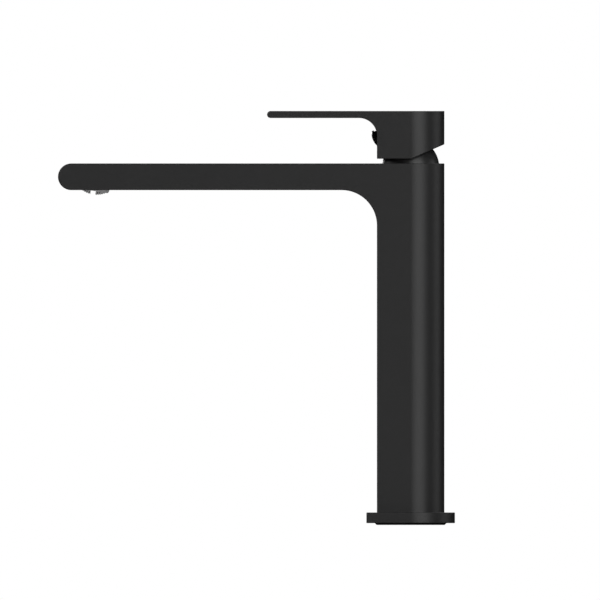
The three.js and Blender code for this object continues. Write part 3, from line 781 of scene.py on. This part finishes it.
def dome_cover():
    s = sizes()
    outer, inner, mouth = s.dome_radius, s.dome_radius - s.dome_wall, s.dome_mouth
    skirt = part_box("dome_cover")[0].z - LIFT_AXIS.z
    top, under = math.sqrt(outer ** 2 - mouth ** 2), math.sqrt(inner ** 2 - mouth ** 2)
    sweep = math.degrees(math.atan2(top, mouth))
    back = math.degrees(math.atan2(under, mouth))
    dome = turned(
        "cartridge_dome", (outer, skirt), to(outer, 0), arc(0, 0, sweep), to(mouth, under),
        arc(0, 0, -back), to(inner, skirt), to(outer, skirt), centre=LIFT_AXIS,
    )

    def rim(a, b):
        return min(a.z, b.z) > LIFT_AXIS.z + under - MM / 10

    rim_round = 0.3 * MM
    round_edges(dome, rim_round, rim, segments=3)
    finish(dome, "body", "black_coat", "dome_cover")


def cap_bend(radius, crown):
    """Radius of the ball whose cap has this rim radius and this height."""
    return (radius ** 2 + crown ** 2) / (2 * crown)


def plug_place():
    """Middle of the plug's rim, and the tilt that turns +Z into its outward axis."""
    s = sizes()
    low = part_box("handle_plug")[0]
    bend = cap_bend(s.plug_radius, s.plug_crown)
    y = low.y + bend - (bend - s.plug_crown) * math.cos(s.plug_dip)
    return Vector((0, y, low.z + s.plug_radius * math.cos(s.plug_dip))), math.pi / 2 + s.plug_dip


def handle():
    s = sizes()
    low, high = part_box("handle")
    rear_bottom = low.z + (high.y - s.block_bend) * math.tan(s.block_slope)
    lever = arm("lever_handle", low, high, s.lever_thickness, s.lever_fillet, rear_bottom, s.block_bend)
    round_edges(lever, s.edge_radius)
    inner, roof, boss_half, gap = high.x - 3.2 * MM, high.z - s.lever_thickness, 8 * MM, 0.15 * MM
    boss = block("boss", boss_half, -high.x, boss_half, low.z - 2 * CUT_MARGIN, roof + CUT_MARGIN)
    pocket = cut(column_block("handle_pocket", inner, low.z - CUT_MARGIN, roof), boss)
    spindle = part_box("spindle")[1]
    square = spindle.x + gap
    socket = block("spindle_socket", square, -square, square, LIFT_AXIS.z, spindle.z + gap)
    cut(
        lever, pocket, globe("dome_hollow", s.dome_radius + s.cup_clearance, LIFT_AXIS),
        socket, put(plug_bore(gap), *plug_place()),
    )
    finish(lever, "handle", "black_coat", "handle")


def plug_bore(gap):
    """The stepped hole for the plug and, behind it, the screw that clamps the handle."""
    s = sizes()
    head, step, neck, thread = s.plug_radius + gap, s.plug_step + gap, s.plug_neck + gap, 2.65 * MM
    seat, step_end, shank = s.plug_head + gap, s.plug_step_end + gap, s.plug_length + 0.2 * MM
    mouth, screw_end = 5 * MM, 22.8 * MM
    return turned(
        "plug_bore", (0, -screw_end), to(thread, -screw_end), to(thread, -shank), to(neck, -shank),
        to(neck, -step_end), to(step, -step_end), to(step, -seat), to(head, -seat), to(head, mouth),
        to(0, mouth),
    )


def handle_plug():
    s = sizes()
    radius, crown, head, neck = s.plug_radius, s.plug_crown, s.plug_head, s.plug_neck
    bend = cap_bend(radius, crown)
    sweep = math.degrees(math.asin(radius / bend))
    edge, chamfer = 0.25 * MM, 0.4 * MM
    plug = turned(
        "screw_plug", (0, crown), arc(0, crown - bend, -sweep), to(radius, edge - head),
        arc(radius - edge, edge - head, -90), to(s.plug_step, -head), to(s.plug_step, -s.plug_step_end),
        to(neck, -s.plug_step_end), to(neck, chamfer - s.plug_length),
        to(neck - chamfer, -s.plug_length), to(0, -s.plug_length),
    )
    round_edges(plug, s.moulded_edge, lambda a, b: min(a.z, b.z) > -edge and a.xy.length > s.plug_step)
    finish(put(plug, *plug_place()), "handle", "black_gloss", "handle_plug")


def aerator_housing():
    s = sizes()
    low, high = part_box("aerator_housing")
    centre = Vector((0, BALL_CENTRE.y, 0))
    outer, bore, seat = high.x, high.x - MM, s.ball_radius + 0.2 * MM
    lip_top = low.z + 0.7 * MM
    reach = math.sqrt(seat ** 2 - (BALL_CENTRE.z - low.z) ** 2)
    throat = math.sqrt(seat ** 2 - (BALL_CENTRE.z - lip_top) ** 2)
    ring = turned(
        "aerator_ring", (reach, low.z), to(outer, low.z), to(outer, high.z), to(bore, high.z),
        to(bore, lip_top), to(throat, lip_top), to(reach, low.z), centre=centre,
    )
    round_edges(ring, s.moulded_edge, segments=2)
    finish(ring, "body", "grey_plastic", "aerator_housing")


def slot_bar(name, top):
    """The slot's space, drawn about the ball's centre: across X, up to a height."""
    s = sizes()
    half = s.coin_slot / 2
    return block(name, 14 * MM, -s.slot_shift - half, half - s.slot_shift, FACE_CUT, top)


def aerator_ball():
    s = sizes()
    radius, face, top = s.ball_radius, -s.ball_face, 2.8 * MM
    bore, throat, shelf = s.crown_radius + 0.12 * MM, 8.2 * MM, 0.9 * MM
    outer_round, inner_round = 0.85 * MM, 0.12 * MM
    low_rim, high_rim = math.sqrt(radius ** 2 - face ** 2), math.sqrt(radius ** 2 - top ** 2)
    sweep = math.degrees(math.atan2(top, high_rim) - math.atan2(face, low_rim))
    shell = turned(
        "aerator_nozzle", (low_rim, face), arc(0, 0, sweep), to(throat, top), to(throat, shelf),
        to(bore, shelf), to(bore, face), to(low_rim, face),
    )

    def outer_rim(a, b):
        return max(a.z, b.z) < face + MM / 10 and a.xy.length > bore + MM / 10

    def inner_rim(a, b):
        return max(a.z, b.z) < face + MM / 10 and a.xy.length < bore + MM / 10

    round_edges(shell, outer_round, outer_rim, segments=6)
    round_edges(shell, inner_round, inner_rim, segments=2)
    cut(shell, slot_bar("face_slot", face + s.slot_depth))
    put(shell, BALL_CENTRE, -s.nozzle_tilt)
    finish(shell, "nozzle", "grey_plastic", "aerator_ball")


def bars(name, half_width, half, top, x=0):
    """A row of upright cutters along Y at the ribs' pitch, drawn about the ball's centre."""
    pitch = sizes().rib_pitch
    first = -pitch * (RIB_COUNT - 1) / 2
    piece = block(name, half_width, first - half, first + half, FACE_CUT, top, x=x)
    return repeat(piece, (0, pitch, 0), RIB_COUNT)


def jet_insert():
    """Crown of fins along X, joined by lower ribs along Y near its middle, with cells between the ribs."""
    s = sizes()
    face, top, pitch, radius = -s.ball_face, -0.3 * MM, s.rib_pitch, s.crown_radius
    bend, lowest = cap_bend(radius, s.crown_height), face - s.crown_height
    sweep = math.degrees(math.asin(radius / bend))
    insert = turned("jet_crown", (0, lowest), arc(0, lowest + bend, sweep), to(radius, top), to(0, top))
    cut(insert, slot_bar("crown_slot", face + s.slot_depth))
    # each set of cutters has a width of its own, so that no two cut along one plane
    for side in (-1, 1):
        cut(insert, bars("side_grooves", 3.65 * MM, pitch / 4, face + 0.4 * MM, side * 8.35 * MM))
    grooves = bars("grooves", 11 * MM, 0.225 * pitch, face + 1.2 * MM)
    cut(grooves, globe("ribs", bend, (0, 0, lowest + s.rib_drop + bend)))
    cell_half, first = pitch / 5, -pitch * (RIB_COUNT - 1) / 2
    cells = bars("cells", cell_half, cell_half, face + 0.3 * MM, first)
    cut(insert, grooves, repeat(cells, (pitch, 0, 0), RIB_COUNT))
    put(insert, BALL_CENTRE, -s.nozzle_tilt)
    finish(insert, "nozzle", "grey_plastic", "jet_insert")


# Nodes that keep their own shape, by finish.
INNER_FINISHES = {
    "black_rubber": (
        "hot_riser_lower_o_ring", "hot_riser_upper_o_ring", "cold_riser_lower_o_ring",
        "cold_riser_upper_o_ring", "seat_o_ring", "cup_o_ring", "hot_port_seal", "cold_port_seal",
        "outlet_port_seal", "disc_gasket", "aerator_washer", "aerator_o_ring",
    ),
    "brass": ("foot_block", "cartridge_seat", "cartridge_nut", "spindle"),
    "copper": ("hot_riser", "cold_riser"),
    "steel": ("foot_screw_left", "foot_screw_right", "pivot_pin", "handle_screw", "flow_screen"),
    "white_plastic": ("cartridge_base", "cartridge_housing", "swivel_seat"),
    "blue_plastic": ("cartridge_rotor", "disc_carrier", "temperature_limiter"),
    "ceramic": ("fixed_disc", "moving_disc"),
}


def inner_finishes():
    for name, nodes in INNER_FINISHES.items():
        shared = finish_named(name)
        for node in nodes:
            piece = frame["nodes"][node]
            for place in piece.material_slots:
                place.material = shared


# ---- studio ----------------------------------------------------------------------------


def floor():
    deselect()
    bpy.ops.mesh.primitive_circle_add(vertices=TURN_STEPS, radius=FLOOR_RADIUS, fill_type="NGON")
    piece = named(bpy.context.object, "studio_floor")
    made, tree, shader, place = material("studio_floor", colours().floor)
    grain = use(tree, effect("Grain"), place, grains_per_metre=300.0, blotches_per_metre=2.0)
    tint(tree, shader, colours().floor, grain["Tone"], 0.99, 1.0)
    tree.links.new(vary(tree, grain["Tone"], 0.78, 0.84), shader.inputs["Roughness"])
    # clear from underneath, so that the mixer's underside can be looked at
    under = add(tree, "ShaderNodeNewGeometry").outputs["Backfacing"]
    clear = add(tree, "ShaderNodeBsdfTransparent").outputs[0]
    both = add(tree, "ShaderNodeMixShader", {0: under, 1: shader.outputs[0], 2: clear})
    tree.links.new(both.outputs[0], tree.nodes["Material Output"].inputs["Surface"])
    piece.data.materials.append(made)
    piece.visible_glossy = False


def softbox(name, azimuth, elevation, wide, tall, glow):
    """A soft panel aimed at the column; it is as wide and tall, seen from there, as the angles say."""
    deselect()
    azimuth, elevation = math.radians(azimuth), math.radians(elevation)
    flat = math.cos(elevation)
    away = Vector((math.cos(azimuth) * flat, math.sin(azimuth) * flat, math.sin(elevation)))
    bpy.ops.object.light_add(type="AREA", location=away * PANEL_DISTANCE + UP * AIM_HEIGHT)
    panel = bpy.context.object
    panel.name = name
    panel.data.shape = "RECTANGLE"
    panel.data.size = 2 * PANEL_DISTANCE * math.tan(math.radians(wide / 2))
    panel.data.size_y = 2 * PANEL_DISTANCE * math.tan(math.radians(tall / 2))
    panel.data.energy = glow * math.pi * panel.data.size * panel.data.size_y
    panel.rotation_euler = (math.pi / 2 - elevation, 0, azimuth + math.pi / 2)
    panel.visible_camera = False


def world():
    """A white surround that lights the mixer softly and leaves the reflections to the panels."""
    sky = bpy.data.worlds.new("studio")
    bpy.context.scene.world = sky
    sky.use_nodes = True
    sky.node_tree.nodes["Background"].inputs["Color"].default_value = (1, 1, 1, 1)
    sky.cycles_visibility.glossy = False


def camera():
    """Level and square to the side, without perspective, framed on the whole mixer."""
    deselect()
    low, high = CAD_BOX
    place = (low + high) / 2 + VIEW_OFFSET + Vector((VIEW_DISTANCE, 0, 0))
    bpy.ops.object.camera_add(location=place, rotation=(math.pi / 2, 0, math.pi / 2))
    view = bpy.context.object
    view.name = "studio_camera"
    view.data.type = "ORTHO"
    view.data.ortho_scale = VIEW_WIDTH
    view.data.clip_end = 40
    bpy.context.scene.camera = view
    bpy.context.scene.view_settings.view_transform = "Standard"


def stage():
    floor()
    world()
    camera()
    # in degrees: azimuth from +X towards +Y, elevation, width and height; then how bright it is
    softbox("key_strip", 28, 16, 40, 32, 3.4)
    softbox("rear_strip", 100, 8, 28, 16, 1.4)
    softbox("far_strip", 198, 16, 24, 32, 3)
    softbox("front_panel", -90, 25, 50, 30, 1.5)
    softbox("sky_panel", 160, 52, 60, 30, 1.5)


# ---- operators and panel ---------------------------------------------------------------


class MIXER_OT_foot(bpy.types.Operator):
    """Model the base plate and the foot seal"""
    bl_idname = "mixer.foot"
    bl_label = "Foot"

    def execute(self, context):
        base_plate()
        foot_seal()
        return {"FINISHED"}


class MIXER_OT_body(bpy.types.Operator):
    """Model the column and the hollow spout"""
    bl_idname = "mixer.body"
    bl_label = "Body"

    def execute(self, context):
        body_casing()
        return {"FINISHED"}


class MIXER_OT_dome(bpy.types.Operator):
    """Model the dome over the cartridge"""
    bl_idname = "mixer.dome"
    bl_label = "Dome"

    def execute(self, context):
        dome_cover()
        return {"FINISHED"}


class MIXER_OT_handle(bpy.types.Operator):
    """Model the lever handle and the plug over its screw"""
    bl_idname = "mixer.handle"
    bl_label = "Handle"

    def execute(self, context):
        handle()
        handle_plug()
        return {"FINISHED"}


class MIXER_OT_aerator(bpy.types.Operator):
    """Model the aerator's ring, ball and ribbed crown"""
    bl_idname = "mixer.aerator"
    bl_label = "Aerator"

    def execute(self, context):
        aerator_housing()
        aerator_ball()
        jet_insert()
        return {"FINISHED"}


class MIXER_OT_inner(bpy.types.Operator):
    """Give the pieces inside the mixer their finishes"""
    bl_idname = "mixer.inner"
    bl_label = "Inner pieces"

    def execute(self, context):
        inner_finishes()
        return {"FINISHED"}


class MIXER_OT_stage(bpy.types.Operator):
    """Set up the floor, the soft lights and the camera"""
    bl_idname = "mixer.stage"
    bl_label = "Stage"

    def execute(self, context):
        stage()
        return {"FINISHED"}


OPERATORS = (
    MIXER_OT_stage, MIXER_OT_foot, MIXER_OT_body, MIXER_OT_dome,
    MIXER_OT_handle, MIXER_OT_aerator, MIXER_OT_inner,
)


class MIXER_PT_panel(bpy.types.Panel):
    """Lists the mixer's pieces, sizes and colours"""
    bl_idname = "MIXER_PT_panel"
    bl_label = "Basin Mixer"
    bl_space_type = "VIEW_3D"
    bl_region_type = "UI"
    bl_category = "Mixer"

    def draw(self, context):
        for operator in OPERATORS:
            self.layout.operator(operator.bl_idname)
        for settings in (context.scene.mixer_sizes, context.scene.mixer_colours):
            column = self.layout.column()
            for name in settings.bl_rna.properties.keys():
                if name not in {"rna_type", "name"}:
                    column.prop(settings, name)


CLASSES = (MixerSizes, MixerColours, *OPERATORS, MIXER_PT_panel)


def register():
    for item in CLASSES:
        bpy.utils.register_class(item)
    bpy.types.Scene.mixer_sizes = bpy.props.PointerProperty(type=MixerSizes)
    bpy.types.Scene.mixer_colours = bpy.props.PointerProperty(type=MixerColours)


def unregister():
    del bpy.types.Scene.mixer_colours
    del bpy.types.Scene.mixer_sizes
    for item in reversed(CLASSES):
        bpy.utils.unregister_class(item)


def main():
    register()
    for operator in OPERATORS:
        family, verb = operator.bl_idname.split(".")
        getattr(getattr(bpy.ops, family), verb)()


if __name__ == "__main__":
    main()
